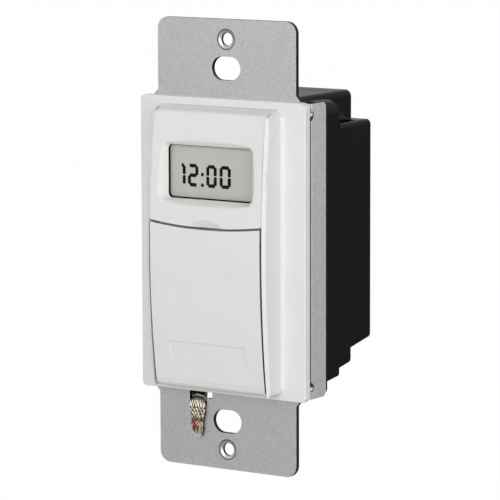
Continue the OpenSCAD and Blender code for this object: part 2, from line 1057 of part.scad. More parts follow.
// Outside of the housing
module housing_shape() {
    along_y(0, wall_back)
        band(front_box_w, front_box_bottom, front_box_top);
    along_y(wall_back, wall_back + rim_t)
        translate([0, (rim_bottom + rim_top)/2])
            rounded(rim_w, rim_top - rim_bottom, rim_corner_r);
    intersection() {
        along_x(-housing_w/2, housing_w/2)
            polygon([[wall_back, body_bottom - 1], [body_depth, body_bottom], [body_depth, body_top],
                [wall_back, body_top]]);
        along_y(wall_back, body_depth)
            body_outline();
    }
    along_x(-ledge_w/2, ledge_w/2)
        drafted(body_depth, ledge_depth, ledge_bottom, block_bottom + reach);
    intersection() {
        along_x(-housing_w/2, housing_w/2)
            drafted(body_depth, housing_depth, block_bottom, block_top);
        along_y(body_depth, housing_depth)
            rounded(housing_w, 2*block_top, block_corner_r);
    }
    along_y(0, housing_depth)
        translate([0, tower_top - tower_h/2])
            rounded(tower_w, tower_h, tower_corner_r);
    both_sides()
        along_y(body_depth, pocket_back + 1)
            translate([tower_w/2, block_top])
                difference() {
                    square(fillet_r);
                    translate([fillet_r, fillet_r])
                        circle(fillet_r);
                }
}

// Room inside the housing
module housing_room() {
    t = housing_t;
    along_y(-1, wall_back)
        band(front_box_w - 2*t, front_box_bottom + t, front_box_top - t);
    along_y(wall_back - 1, body_depth - t)
        band(housing_w - 2*t, body_bottom + body_bottom_t, body_top - body_corner_r);
    along_x(t - housing_w/2, housing_w/2 - t)
        drafted(body_depth - 2*t, housing_depth - t, block_bottom + t, block_top - pocket_depth - t);
    along_y(body_depth - 2*t, housing_depth - t)
        band(tower_w - 2*t, block_top - reach, tower_top - t);
}

module rear_housing() {
    color(black)
        difference() {
            union() {
                difference() {
                    housing_shape();
                    housing_room();
                }
                four_corners()
                    along_y(0, boss_back) {
                        translate([boss_x, boss_z])
                            circle(boss_r);
                        translate([boss_x, boss_z - boss_r])
                            square([boss_r, 2*boss_r]);
                    }
            }
            four_corners()
                rod_y(housing_screw_r + tight, -1, housing_screw_end + 0.5, boss_x, boss_z);
            both_sides()
                block([pocket_x, body_depth, block_top - pocket_depth],
                    [housing_w/2 - pocket_wall, pocket_back, block_top + fillet_r]);
            block([-tower_w/2, seam_y, tower_top - seam_w/2], [tower_w/2, seam_y + seam_w, tower_top + 1]);
            along_y(housing_depth - 2*housing_t, housing_depth + 1)
                translate([0, lead_slot_z])
                    obround(lead_slot_w, lead_slot_h);
            lead_route(ground_insulation_r + tight);
        }
}

module housing_screws() {
    color(steel)
        four_corners() {
            rod_y(housing_screw_r, strap_front, housing_screw_end, boss_x, boss_z);
            rod_y(screw_head_r, strap_front - screw_head_t, strap_front, boss_x, boss_z);
        }
}

module board_screws() {
    color(steel)
        at_posts() {
            rod_y(board_screw_r, deck_back + 1.2, control_back);
            rod_y(board_screw_head_r, control_back, control_back + board_screw_head_t);
        }
}

module battery_tray() {
    color(white)
        difference() {
            along_y(tray_front, tray_back)
                translate([0, cell_z])
                    square([tray_w, tray_h], center = true);
            along_y(tray_front + tray_front_t, tray_back + 1)
                translate([0, cell_z])
                    square([tray_w - 2*tray_wall, tray_h - 2*tray_wall], center = true);
            along_y(tray_front - 1, tray_front + grip_depth)
                translate([0, cell_z + tray_h/2 - 1.4])
                    obround(grip_w, grip_h);
        }
}

module battery_cell() {
    cap_r = 3.3;
    cap_h = 1.2;
    color(cell_grey) {
        rod_x(cell_r, -cell_length/2, cell_length/2 - cap_h, cell_y, cell_z);
        rod_x(cap_r, cell_length/2 - cap_h, cell_length/2, cell_y, cell_z);
    }
}

module battery_contacts() {
    color(steel)
        for (side = [-1, 1])
            translate([side*(tray_w/2 - tray_wall - contact_t/2), cell_y, cell_z])
                cube([contact_t, contact_w, contact_w], center = true);
}

module hinge_pin() {
    color(steel)
        rod_x(pin_r, -pin_length/2, pin_length/2, hinge_y, hinge_z);
}

// Side view of the door: a bowed leaf with a round knuckle at its foot
module door_section() {
    intersection() {
        translate([face_axis_y, 0])
            difference() {
                circle(face_bow_r, $fn = 720);
                circle(face_bow_r - door_t, $fn = 720);
            }
        translate([-face_front - 1, hinge_z])
            square([face_front, collar_top - hinge_z]);
    }
    translate([hinge_y, hinge_z])
        circle(knuckle_r);
}

// Strip along the door's sides and top where it is thinned to a lip
module lip_outline() {
    foot = hinge_z + knuckle_r + lip_w;
    translate([0, split_z + split_r])
        circle(split_r + split_gap/2 + lip_w, $fn = 360);
    both_sides()
        translate([door_w/2 - lip_w, foot])
            square([2*lip_w, collar_top - foot]);
}

module door() {
    color(white)
        difference() {
            union() {
                along_x(-door_w/2, door_w/2)
                    door_section();
                along_y(presser_front, presser_back)
                    translate([0, upper_row_z])
                        rounded(presser_w, presser_h, 1);
            }
            along_y(-face_front - 1, 0)
                translate([0, split_z + split_r])
                    circle(split_r + split_gap/2, $fn = 360);
            difference() {
                along_y(-face_front - 1, deck_front)
                    translate([0, plate_z])
                        square([plate_w, plate_h], center = true);
                face_bow(plate_depth);
            }
            intersection() {
                along_y(-face_front, deck_front)
                    lip_outline();
                face_bow(lip_t);
            }
            rod_x(pin_r + run, -door_w, door_w, hinge_y, hinge_z);
        }
}

mounting_strap();
ground_strands();
ground_lead();
front_cover();
display_panel();
display_window();
display_holder();
display_glass();
upper_contact_strip();
lower_contact_strip();
control_board();
microcontroller();
crystal();
switch_bodies();
board_header();
power_board();
relay();
film_capacitor();
electrolytic_capacitor();
varistor();
dropping_resistor();
rear_housing();
housing_screws();
board_screws();
battery_tray();
battery_cell();
battery_contacts();
hinge_pin();
door();
on_off_button();
on_off_stem();
mode_button();
mode_stem();
plus_button();
plus_stem();
minus_button();
minus_stem();
reset_button();
reset_stem();
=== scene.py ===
"""Looks of the timer light switch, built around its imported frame."""

import json
import math
import random

import bmesh
import bpy
from mathutils import Matrix, Vector


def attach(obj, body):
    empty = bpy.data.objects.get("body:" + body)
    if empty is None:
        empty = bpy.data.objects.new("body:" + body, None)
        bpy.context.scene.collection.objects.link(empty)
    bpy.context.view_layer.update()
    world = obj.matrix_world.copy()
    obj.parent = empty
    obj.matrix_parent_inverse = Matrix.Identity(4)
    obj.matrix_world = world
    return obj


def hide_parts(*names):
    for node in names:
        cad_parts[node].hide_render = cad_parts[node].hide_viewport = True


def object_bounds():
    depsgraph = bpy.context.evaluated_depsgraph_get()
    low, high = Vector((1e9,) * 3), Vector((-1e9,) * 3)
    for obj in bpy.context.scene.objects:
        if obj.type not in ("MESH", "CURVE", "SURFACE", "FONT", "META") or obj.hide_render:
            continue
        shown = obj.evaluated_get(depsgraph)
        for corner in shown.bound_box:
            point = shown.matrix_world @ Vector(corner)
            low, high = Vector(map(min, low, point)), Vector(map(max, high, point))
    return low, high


MM = 0.001

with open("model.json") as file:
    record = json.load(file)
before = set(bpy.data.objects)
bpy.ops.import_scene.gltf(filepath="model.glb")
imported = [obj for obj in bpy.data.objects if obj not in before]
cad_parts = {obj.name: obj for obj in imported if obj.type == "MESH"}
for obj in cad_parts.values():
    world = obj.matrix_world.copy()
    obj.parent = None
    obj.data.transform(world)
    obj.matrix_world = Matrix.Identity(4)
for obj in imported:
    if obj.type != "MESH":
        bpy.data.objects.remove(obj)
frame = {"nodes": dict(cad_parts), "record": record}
nodes = frame["nodes"]
cad_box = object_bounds()


# Shader nodes

NOISE_LOW, NOISE_HIGH = 0.3, 0.7  # where most of a noise lies
AIR_SAMPLES = 16
CREVICE_SHADE = 0.01


def grey(level):
    """A colour without a hue."""
    return (level,) * 3


def shader(name, colour, roughness, metallic=0.0, specular=0.5):
    """A new material with a plain shader; returns it with its tree and its shader node."""
    material = bpy.data.materials.new(name)
    material.use_nodes = True
    tree = material.node_tree
    bsdf = tree.nodes["Principled BSDF"]
    bsdf.inputs["Base Color"].default_value = (*colour, 1.0)
    bsdf.inputs["Roughness"].default_value = roughness
    bsdf.inputs["Metallic"].default_value = metallic
    bsdf.inputs["Specular IOR Level"].default_value = specular
    return material, tree, bsdf


def plug(tree, socket, value):
    """Gives an input a number, or links it to another node's output."""
    if isinstance(value, bpy.types.NodeSocket):
        tree.links.new(value, socket)
    else:
        socket.default_value = value


def add(tree, kind, **values):
    """A node with the values given for its inputs."""
    node = tree.nodes.new(kind)
    for key, value in values.items():
        plug(tree, node.inputs[key.replace("_", " ")], value)
    return node


def calculate(tree, operation, *terms, kind="ShaderNodeMath", output=0):
    """Result of an operation on numbers and other nodes' outputs."""
    node = tree.nodes.new(kind)
    node.operation = operation
    for socket, term in zip(node.inputs, terms):
        plug(tree, socket, term)
    return node.outputs[output]


def coordinate(tree, axis, kind="Object"):
    """One coordinate of a point in the frame or, in the world, of a direction."""
    place = tree.nodes.new("ShaderNodeTexCoord")
    return add(tree, "ShaderNodeSeparateXYZ", Vector=place.outputs[kind]).outputs[axis]


def noise(tree, grain, detail, stretch=(1.0, 1.0, 1.0)):
    """Noise whose grain is given in metres, in the frame's own directions."""
    place = tree.nodes.new("ShaderNodeTexCoord")
    mapping = add(tree, "ShaderNodeMapping", Vector=place.outputs["Object"], Scale=stretch)
    texture = add(tree, "ShaderNodeTexNoise", Vector=mapping.outputs[0], Scale=1.0 / grain, Detail=detail)
    return texture.outputs["Fac"]


def bands(tree, source, stops):
    """Colours given at two or more places between 0 and 1."""
    node = add(tree, "ShaderNodeValToRGB", Fac=source)
    elements = node.color_ramp.elements
    elements[0].position, elements[1].position = stops[0][0], stops[-1][0]
    elements[0].color, elements[1].color = (*stops[0][1], 1.0), (*stops[-1][1], 1.0)
    for position, colour in stops[1:-1]:
        elements.new(position).color = (*colour, 1.0)
    return node.outputs["Color"]


def ramp(tree, source, low, high, start=NOISE_LOW, end=NOISE_HIGH):
    """Colours between low and high as the source goes from start to end."""
    return bands(tree, source, [(start, low), (end, high)])


def remap(tree, source, start, end, low=0.0, high=1.0):
    """A number between low and high as the source goes from start to end."""
    ends = {"From_Min": start, "From_Max": end, "To_Min": low, "To_Max": high}
    return add(tree, "ShaderNodeMapRange", Value=source, **ends).outputs["Result"]


def spread(tree, source, low, high):
    """A number between low and high as the source goes over a noise's usual range."""
    return remap(tree, source, NOISE_LOW, NOISE_HIGH, low, high)


def multiply(tree, one, two):
    """Product of two colours."""
    node = tree.nodes.new("ShaderNodeMix")
    node.data_type = "RGBA"
    node.blend_type = "MULTIPLY"
    node.inputs["Factor"].default_value = 1.0
    tree.links.new(one, node.inputs["A"])
    tree.links.new(two, node.inputs["B"])
    return node.outputs["Result"]


def bump(tree, bsdf, source, depth):
    """Relief of a depth given in metres."""
    node = add(tree, "ShaderNodeBump", Strength=1.0, Distance=depth, Height=source)
    tree.links.new(node.outputs["Normal"], bsdf.inputs["Normal"])


def crevices(tree, tint, reach, start, end):
    """Painted shade: darkens a colour where little open air lies within reach."""
    air = add(tree, "ShaderNodeAmbientOcclusion", Distance=reach)
    air.samples = AIR_SAMPLES
    return multiply(tree, tint, ramp(tree, air.outputs["AO"], grey(CREVICE_SHADE), grey(1.0), start, end))


# Materials

CLOUD_GRAIN = 9 * MM
SATIN_GRAIN, SATIN_DEPTH = 0.35 * MM, 0.004 * MM
SATIN_BELOW, SATIN_ABOVE = 0.04, 0.05  # how far a plastic's roughness strays
METAL_STRAY = 0.08
ZINC_GRAIN, ZINC_DEPTH = 0.32 * MM, 0.008 * MM
ZINC_SMOOTH, ZINC_ROUGH = 0.40, 0.52
# Painted shade round the plate's countersunk screw holes, partly a burr.
PLATE_HOLE = Vector((0.0, 1.2, 48.42)) * MM
RIM_REACH = 4 * MM
RIM_LEVELS = [(0.0, 0.9), (0.53, 0.9), (0.56, 0.22), (0.60, 0.22), (0.64, 1.0)]
# A painted shadow line on the strap's side walls, behind the cover's flange.
SHADOW_FRONT, SHADOW_BACK = -1.2 * MM, 0.6 * MM
SHADOW_LEVEL = 0.06
SHADOW_START, SHADOW_END = 0.6, 0.68
STRANDS_LOW, STRANDS_HIGH = -46.4 * MM, -37.0 * MM
STRAND_GRAIN, STRAND_DEPTH = 0.2 * MM, 0.01 * MM
# Painted shade between the strands.
STRAND_CREVICE_SHADE = (0.6 * MM, 0.3, 0.8)
WEAR_AND_SHADE, WEAR_AND_SHADE_GRAIN, WEAR_AND_SHADE_STRETCH = 0.26, 0.45 * MM, (1.0, 1.0, 0.3)
HAZE_GRAIN = 6 * MM
VECTORS = "ShaderNodeVectorMath"


def plastic(
    name, colour, roughness, shade=0.03, grain=SATIN_GRAIN, depth=SATIN_DEPTH, specular=0.5, painted_crease_shade=None
):
    """Moulded plastic: a faint unevenness of colour, a fine satin grain and, if asked, painted shade in
    crevices.

    The painted crevice shade is given by its reach and the shares of open air at which it begins and ends.
    """
    material, tree, bsdf = shader(name, colour, roughness, specular=specular)
    darker = tuple(c * (1 - shade) for c in colour)
    tint = ramp(tree, noise(tree, CLOUD_GRAIN, 3.0), darker, colour)
    if painted_crease_shade:
        tint = crevices(tree, tint, *painted_crease_shade)
    tree.links.new(tint, bsdf.inputs["Base Color"])
    fine = noise(tree, grain, 2.0)
    satin = spread(tree, fine, roughness - SATIN_BELOW, roughness + SATIN_ABOVE)
    tree.links.new(satin, bsdf.inputs["Roughness"])
    bump(tree, bsdf, fine, depth)
    return material


def metal(name, low, high, roughness, grain, depth):
    """Bare or coated metal with a mottle."""
    material, tree, bsdf = shader(name, high, roughness, metallic=1.0)
    mottle = noise(tree, grain, 6.0)
    tree.links.new(ramp(tree, mottle, low, high), bsdf.inputs["Base Color"])
    satin = spread(tree, mottle, roughness - METAL_STRAY, roughness + METAL_STRAY)
    tree.links.new(satin, bsdf.inputs["Roughness"])
    bump(tree, bsdf, noise(tree, grain / 3, 3.0), depth)
    return material


def hole_rim_shade(tree):
    """Dark rings round the two plate screw holes: painted shade along the countersinks' outer edges, partly
    a burr, with the countersinks a little darker.
    """
    place = tree.nodes.new("ShaderNodeTexCoord")
    mirrored = calculate(tree, "ABSOLUTE", place.outputs["Object"], kind=VECTORS)
    away = calculate(tree, "DISTANCE", mirrored, PLATE_HOLE, kind=VECTORS, output="Value")
    return bands(tree, remap(tree, away, 0.0, RIM_REACH), [(at, grey(level)) for at, level in RIM_LEVELS])


def wall_painted_shadow(tree):
    """A painted shadow line along the front of the strap's side walls, beside the cover's flange."""
    depth = remap(tree, coordinate(tree, "Y"), SHADOW_FRONT, SHADOW_BACK)
    return ramp(tree, depth, grey(SHADOW_LEVEL), grey(1.0), SHADOW_START, SHADOW_END)


def galvanised(name, low, high, shade):
    """Speckled zinc, darkened by a painted shade that depends on the place."""
    material, tree, bsdf = shader(name, (0.55, 0.545, 0.55), 0.46, metallic=1.0)
    speckle = noise(tree, ZINC_GRAIN, 3.0)
    coat = ramp(tree, speckle, low, high)
    tree.links.new(multiply(tree, coat, shade(tree)), bsdf.inputs["Base Color"])
    tree.links.new(spread(tree, speckle, ZINC_SMOOTH, ZINC_ROUGH), bsdf.inputs["Roughness"])
    bump(tree, bsdf, speckle, ZINC_DEPTH)
    return material


def stranded(name, stops):
    """Wire whose colour changes along the strands' way down the ear: tin and bare copper with a band of
    painted shade, and painted shade between the strands.
    """
    material, tree, bsdf = shader(name, (0.6, 0.5, 0.4), 0.35, metallic=1.0)
    along = remap(tree, coordinate(tree, "Z"), STRANDS_LOW, STRANDS_HIGH, -WEAR_AND_SHADE / 2, 1 - WEAR_AND_SHADE / 2)
    worn_and_shaded = calculate(tree, "MULTIPLY_ADD", noise(tree, WEAR_AND_SHADE_GRAIN, 3.0, WEAR_AND_SHADE_STRETCH), WEAR_AND_SHADE, along)
    tint = crevices(tree, bands(tree, worn_and_shaded, stops), *STRAND_CREVICE_SHADE)
    tree.links.new(tint, bsdf.inputs["Base Color"])
    bump(tree, bsdf, noise(tree, STRAND_GRAIN, 2.0), STRAND_DEPTH)
    return material


def window_clear():
    """Clear plastic of the window, with a little haze."""
    material, tree, bsdf = shader("window_clear", grey(0.02), 0.06, specular=0.15)
    bsdf.inputs["Alpha"].default_value = 0.05
    tree.links.new(spread(tree, noise(tree, HAZE_GRAIN, 2.0), 0.04, 0.09), bsdf.inputs["Roughness"])
    return material


WHITE = (0.757, 0.745, 0.736)
PALE, SHADED = (0.72, 0.67, 0.58), (0.16, 0.12, 0.07)
# The white gets painted shade in deep crevices and gaps.
white = plastic("white_plastic", WHITE, 0.42, painted_crease_shade=(3 * MM, 0.06, 0.22))
# A copy of the white with strong painted shade near other surfaces, for the gaps round the door and beside
# the panel's slope.
white_gap_shade = plastic("white_gap_shade", WHITE, 0.42, painted_crease_shade=(1 * MM, 0.38, 0.6))
# Black for the display's figures, and for the painted shade round the window's edge.
ink_and_shade = plastic("display_ink_and_edge_shade", grey(0.006), 0.5, shade=0.1, specular=0.1)
sign_ink = plastic("sign_grey", (0.12, 0.12, 0.125), 0.5)
# Painted highlight: the dark green insulation's cut end made nearly white.
insulation_end_highlight = plastic("insulation_end_painted_highlight", (0.84, 0.90, 0.82), 0.5, shade=0.1)
# Nearly black: cut steel darkened further by painted shade on the strap's edges and in its holes and slots.
cut_steel_and_shade = metal("cut_steel_and_painted_shade", grey(0.006), grey(0.03), 0.55, 0.5 * MM, 0.01 * MM)
# The walls' zinc is painted lighter than the ears' zinc as painted light, and carries a painted shadow
# line.
zinc_wall_painted_light_and_shadow = galvanised("zinc_wall_painted_light_and_shadow", (0.54, 0.526, 0.529), (0.74, 0.722, 0.726), wall_painted_shadow)
# Near black: painted shade in the gaps between the strands.
strand_gap_shade = metal("strand_gap_painted_shade", (0.012, 0.009, 0.005), (0.06, 0.045, 0.025), 0.5, 0.5 * MM, 0.01 * MM)
wire = stranded(
    "tinned_copper",
    [
        (0.02, (0.85, 0.82, 0.74)),
        (0.20, PALE),
        (0.42, (0.55, 0.44, 0.36)),
        (0.50, SHADED),
        (0.58, (0.66, 0.60, 0.44)),
        (0.9, PALE),
    ],
)
bare_wire = stranded(
    "bare_copper",
    [
        (0.12, PALE),
        (0.22, (0.45, 0.24, 0.19)),
        (0.42, (0.34, 0.11, 0.09)),
        (0.50, SHADED),
        (0.58, (0.60, 0.53, 0.40)),
        (0.9, PALE),
    ],
)

paints = {
    "white": white,
    "copper": wire,
    "clear": window_clear(),
    "zinc": galvanised("zinc", (0.45, 0.445, 0.449), (0.615, 0.608, 0.612), hole_rim_shade),
    "steel": metal("steel", (0.40, 0.40, 0.41), (0.52, 0.52, 0.53), 0.34, 0.6 * MM, 0.003 * MM),
    "housing": plastic(
        "black_plastic",
        (0.0045, 0.0042, 0.0044),
        0.36,
        shade=0.2,
        grain=0.5 * MM,
        depth=0.006 * MM,
        specular=0.05,
    ),
    "green": plastic("green_insulation", (0.012, 0.030, 0.018), 0.35, shade=0.15),
    "display": plastic("display_face", (0.62, 0.605, 0.565), 0.35, shade=0.02, specular=0.2),
    "strip": plastic("strip_rubber", (0.50, 0.50, 0.53), 0.6, shade=0.1, grain=0.2 * MM),
    "board": plastic("solder_mask", (0.02, 0.12, 0.045), 0.3, shade=0.15, grain=0.4 * MM),
    "black": plastic("dark_plastic", (0.012, 0.012, 0.013), 0.5, shade=0.2),
    "relay": plastic("relay_case", (0.02, 0.035, 0.10), 0.4, shade=0.1),
    "film": plastic("film_case", (0.50, 0.28, 0.02), 0.35, shade=0.1),
    "can": plastic("can_sleeve", (0.018, 0.022, 0.045), 0.3, shade=0.1),
    "blue": plastic("dipped_coat", (0.02, 0.09, 0.34), 0.25, shade=0.12, grain=0.6 * MM),
    "resistor": plastic("resistor_coat", (0.45, 0.36, 0.22), 0.45, shade=0.12),
    "cell": plastic("cell_sleeve", (0.07, 0.075, 0.085), 0.3, shade=0.1),
    "cap": plastic("cap_plastic", (0.66, 0.66, 0.65), 0.45),
    "stem": plastic("stem_plastic", grey(0.035), 0.5, shade=0.1),
}
slots = {s["node"]: s["material_slot"] for s in frame["record"]["subparts"]}
for name, node in nodes.items():
    node.data.materials.clear()
    node.data.materials.append(paints[slots[name]])


# Faces of the CAD pieces that have another material

FACING, LEANING, TURNED = 0.7, 0.5, 0.2  # cosines: facing a direction, leaning to it, barely turned to it
WALL_X = 20.5 * MM
WALL_BACK_Y = 5 * MM
EAR_Z = 33.6 * MM
DOOR_SIDE_X, DOOR_TOP_Z = 14.5 * MM, 2 * MM
LEAD_CUT_Y, LEAD_CUT_Z = 2.2 * MM, -36.5 * MM


def strap_wall(normal, centre):
    """Outer sides of the strap's walls, which get a lighter zinc as painted light and a painted shadow
    line.
    """
    return abs(centre.x) > WALL_X and normal.x * centre.x > TURNED * WALL_X


def strap_cut(normal, centre):
    """Sheared edges and hole walls of the strap, nearly black: darker bare steel under the zinc, with
    painted shade over it.
    """
    at_end = abs(normal.z) > LEANING and abs(centre.z) > EAR_Z
    in_plate = abs(centre.x) < WALL_X and abs(normal.y) < LEANING
    wall_back = abs(centre.x) > WALL_X and normal.y > FACING and centre.y > WALL_BACK_Y
    return at_end or in_plate or wall_back


def door_rim(normal, centre):
    """The door's narrow sides, which get painted shade while they face the collar and the panel."""
    beside = abs(normal.x) > FACING and abs(centre.x) > DOOR_SIDE_X
    above = normal.z > FACING and centre.z > DOOR_TOP_Z
    return beside or above


def lead_cut(normal, centre):
    """Cut end of the ground wire's insulation, painted nearly white as a painted highlight."""
    return normal.y < -FACING and centre.z < LEAD_CUT_Z and centre.y < LEAD_CUT_Y


def paint(name, material, chosen):
    """Gives a CAD piece's chosen faces another material, over any given before."""
    mesh = nodes[name].data
    mesh.materials.append(material)
    for face in mesh.polygons:
        if chosen(face.normal, face.center):
            face.material_index = len(mesh.materials) - 1


paint("mounting_strap", zinc_wall_painted_light_and_shadow, strap_wall)
paint("mounting_strap", cut_steel_and_shade, strap_cut)
paint("door", white_gap_shade, door_rim)
paint("ground_lead", insulation_end_highlight, lead_cut)


# Softened edges of the moulded and bent pieces, by modifiers: the CAD pieces' own points stay as they are

WELD_REACH = 1e-6
FLAT_ANGLE = math.radians(0.2)
EDGE_ANGLE = math.radians(30.0)
CORNER_REACH = 0.02 * MM
CORNER_SEGMENTS = 4
HOUSING_CORNERS = [(15.0, -31.1), (21.0, -28.6), (29.1, -23.6)]


def smooth_part(name):
    """A CAD piece, shaded smoothly, with double points joined and flat facets merged."""
    part = nodes[name]
    weld = part.modifiers.new("weld", "WELD")
    weld.merge_threshold = WELD_REACH
    flat = part.modifiers.new("flat", "DECIMATE")
    flat.decimate_type = "DISSOLVE"
    flat.angle_limit = FLAT_ANGLE
    for face in part.data.polygons:
        face.use_smooth = True
    return part


def bevel(part, name, width, segments):
    """A bevel that keeps its width beside small faces."""
    made = part.modifiers.new(name, "BEVEL")
    made.width = width
    made.segments = segments
    made.use_clamp_overlap = False
    return made


def soften(name, width, segments=3, corners=(), corner_r=0.0):
    """Rounds a CAD piece's edges; corners are the (y, z) of edges with a larger radius."""
    part = smooth_part(name)
    if corners:
        places = [(y * MM, z * MM) for y, z in corners]
        near = [
            vertex.index
            for vertex in part.data.vertices
            if any(math.dist(vertex.co.yz, place) < CORNER_REACH for place in places)
        ]
        group = part.vertex_groups.new(name="corners")
        group.add(near, 1.0, "REPLACE")
        corner = bevel(part, "corner", corner_r, CORNER_SEGMENTS)
        corner.limit_method = "VGROUP"
        corner.vertex_group = group.name
    edge = bevel(part, "edge", width, segments)
    edge.limit_method = "ANGLE"
    edge.angle_limit = EDGE_ANGLE
    part.modifiers.new("normals", "WEIGHTED_NORMAL")


def keep_crisp(name):
    """Shades a CAD piece's curves smoothly and keeps its edges crisp."""
    part = smooth_part(name)
    crisp = part.modifiers.new("crisp", "EDGE_SPLIT")
    crisp.split_angle = EDGE_ANGLE
    part.modifiers.new("normals", "WEIGHTED_NORMAL")


keep_crisp("front_cover")
soften("door", 0.06 * MM)
soften("mounting_strap", 0.08 * MM)
soften("rear_housing", 0.15 * MM, segments=2, corners=HOUSING_CORNERS, corner_r=0.7 * MM)


# Pieces of the scene; sizes from here to the stage are in millimetres

HAIR = 0.01  # a gap or a radius too small to see


def piece(name, bm, materials, body, replaced=(), sharp=35.0):
    """A mesh piece that rides on a body, smooth up to an edge angle."""
    mesh = bpy.data.meshes.new(name)
    bmesh.ops.recalc_face_normals(bm, faces=bm.faces)
    bm.to_mesh(mesh)
    bm.free()
    mesh.shade_smooth()
    mesh.set_sharp_from_angle(angle=math.radians(sharp))
    for material in materials:
        mesh.materials.append(material)
    made = bpy.data.objects.new(name, mesh)
    bpy.context.scene.collection.objects.link(made)
    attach(made, body)
    if replaced:
        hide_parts(*replaced)


def point(bm, x, y, z):
    """A point of a mesh."""
    return bm.verts.new(Vector((x, y, z)) * MM)


def sweep(bm, columns):
    """Joins closed columns of points all the way round; returns the faces of each step."""
    steps = []
    for left, right in zip(columns, columns[1:] + columns[:1]):
        quads = zip(left, right, right[1:] + right[:1], left[1:] + left[:1])
        steps.append([bm.faces.new(quad) for quad in quads])
    return steps


# Display panel: the same bowed face, dish and thumb recess as the CAD piece, with flowing edges

FACE_R = 213.0
FACE_FRONT = 10.9
PANEL_INSET = 0.3
FACE_AXIS_Y = FACE_R - FACE_FRONT
WINDOW = (23.2, 12.5, 1.1)
WINDOW_Z = 17.85
DISH_BACK = -8.2
DISH_PAST = 1  # how far the dish's cone is drawn past the face
DISH_FLARE = 0.9
DISH_DEPTH = FACE_FRONT + DISH_PAST + DISH_BACK
DISH_SPREAD = 2 * DISH_DEPTH * DISH_FLARE
DISH_RISE = 1.0
DISH_BLEND = 0.3
OVAL_POWER = 4.0
OVAL_STEPS = 144
PANEL_SIDE = 15.35
PANEL_TOP = 32.71
TOP_Y = -6.15
TOP_SLOPE = 0.34
SIDE_SLOPE = 0.52
SIDE_FALL = 1.6
SLOPE_RUN = 2.2
SLOPE_SAG = 0.12
EDGE_BLEND = 0.8
SPLIT_Z = 5.1
SPLIT_R = 111.0
SPLIT_GAP = 0.48
SPLIT_STEPS = 120
THUMB_R = 7.5
THUMB_TOP = 7.45
THUMB_SPHERE_R = 15.5
THUMB_Y = PANEL_INSET - FACE_FRONT - math.sqrt(THUMB_SPHERE_R**2 - THUMB_R**2)
THUMB_BLEND = 0.12
PANE = (25.9, 15.2)
PANE_FRONT, PANE_BACK = -7.8, -7.4
HOLDER = (28.4, 22.5)
DECK_FRONT = -6.0
GROOVE = 0.295
GROOVE_STEP = 0.06
SLOPE_STEP = 2.5
SIDE_R = 0.16
LOW_R = 0.1
RAYS = 240
RAY_DIGITS = 4
SLOPE_RAYS = 16
SLOPE_HEIGHT = 2.4
FACE_RINGS, RING_POWER, FACE_SHARE = 40, 1.15, 0.94
RIM_SHARES = [0.955, 0.967, 0.977, 0.985, 0.991, 0.996, 1.0]
PARALLEL, SLACK = 1e-12, 1e-9


def bow_y(z):
    """Depth of the panel's bowed face at a height."""
    return FACE_AXIS_Y - math.sqrt((FACE_R - PANEL_INSET) ** 2 - z * z)


def slope_y(x, z):
    """Depth of the panel's slightly hollow top slope, which falls off more steeply near the sides."""
    beside = max(0.0, 1 - (PANEL_SIDE - abs(x)) / SIDE_FALL)
    run = (PANEL_TOP - z) / (TOP_SLOPE + (SIDE_SLOPE - TOP_SLOPE) * beside**2)
    share = min(1.0, run / SLOPE_RUN)
    return TOP_Y - run + 4 * SLOPE_SAG * share * (1 - share)


def split_z(x):
    """Height of the panel's curved lower edge."""
    return SPLIT_Z + SPLIT_R - math.sqrt((SPLIT_R - SPLIT_GAP / 2) ** 2 - x * x)


def rounded_points(w, h, r, steps=10, shift=(0.0, 0.0)):
    """Outline of a round-cornered rectangle, anticlockwise, about the window's centre or beside it."""
    points = []
    for corner, (sx, sz) in enumerate(((1, 1), (-1, 1), (-1, -1), (1, -1))):
        for i in range(steps + 1):
            a = math.radians(90 * (corner + i / steps))
            x, z = sx * (w / 2 - r) + r * math.cos(a), sz * (h / 2 - r) + r * math.sin(a)
            points.append((x + shift[0], z + shift[1]))
    return points


def panel_points(margin=0.0):
    """Outline of the panel about the window's centre, its sides moved out by a margin."""
    side = PANEL_SIDE + margin
    points = [(side, split_z(side)), (side, PANEL_TOP), (-side, PANEL_TOP), (-side, split_z(side))]
    lower = [side * (2 * i / SPLIT_STEPS - 1) for i in range(1, SPLIT_STEPS)]
    points += [(x, split_z(x)) for x in lower]
    return [(x, z - WINDOW_Z) for x, z in points]


def oval_points():
    """Outline of the oval that the dish opens to."""

    def swell(half, part):
        return half * math.copysign(abs(part) ** (2 / OVAL_POWER), part)

    half_w, half_h = (WINDOW[0] + DISH_SPREAD) / 2, (WINDOW[1] + DISH_SPREAD) / 2
    turns = [math.radians(360 * i / OVAL_STEPS) for i in range(OVAL_STEPS)]
    return [(swell(half_w, math.cos(a)), swell(half_h, math.sin(a)) + DISH_RISE) for a in turns]


def cast(points, angle):
    """Distance from the window's centre to an outline in a direction."""
    dx, dz = math.cos(angle), math.sin(angle)
    best = None
    for (x0, z0), (x1, z1) in zip(points, points[1:] + points[:1]):
        ex, ez = x1 - x0, z1 - z0
        det = ex * dz - ez * dx
        if abs(det) < PARALLEL:
            continue
        t = (ex * z0 - ez * x0) / det
        s = (dx * z0 - dz * x0) / det
        if t > 0 and -SLACK <= s <= 1 + SLACK and (best is None or t > best):
            best = t
    return best


def soft_max(a, b, k):
    """The deeper of two surfaces, blended where they meet."""
    return (a + b + math.sqrt((a - b) ** 2 + k * k)) / 2


def round_off(distance, radius):
    """How far a rounded edge has fallen away at a distance from it."""
    inside = max(0.0, distance)
    if inside >= radius:
        return 0.0
    return radius - math.sqrt(radius**2 - (radius - inside) ** 2)


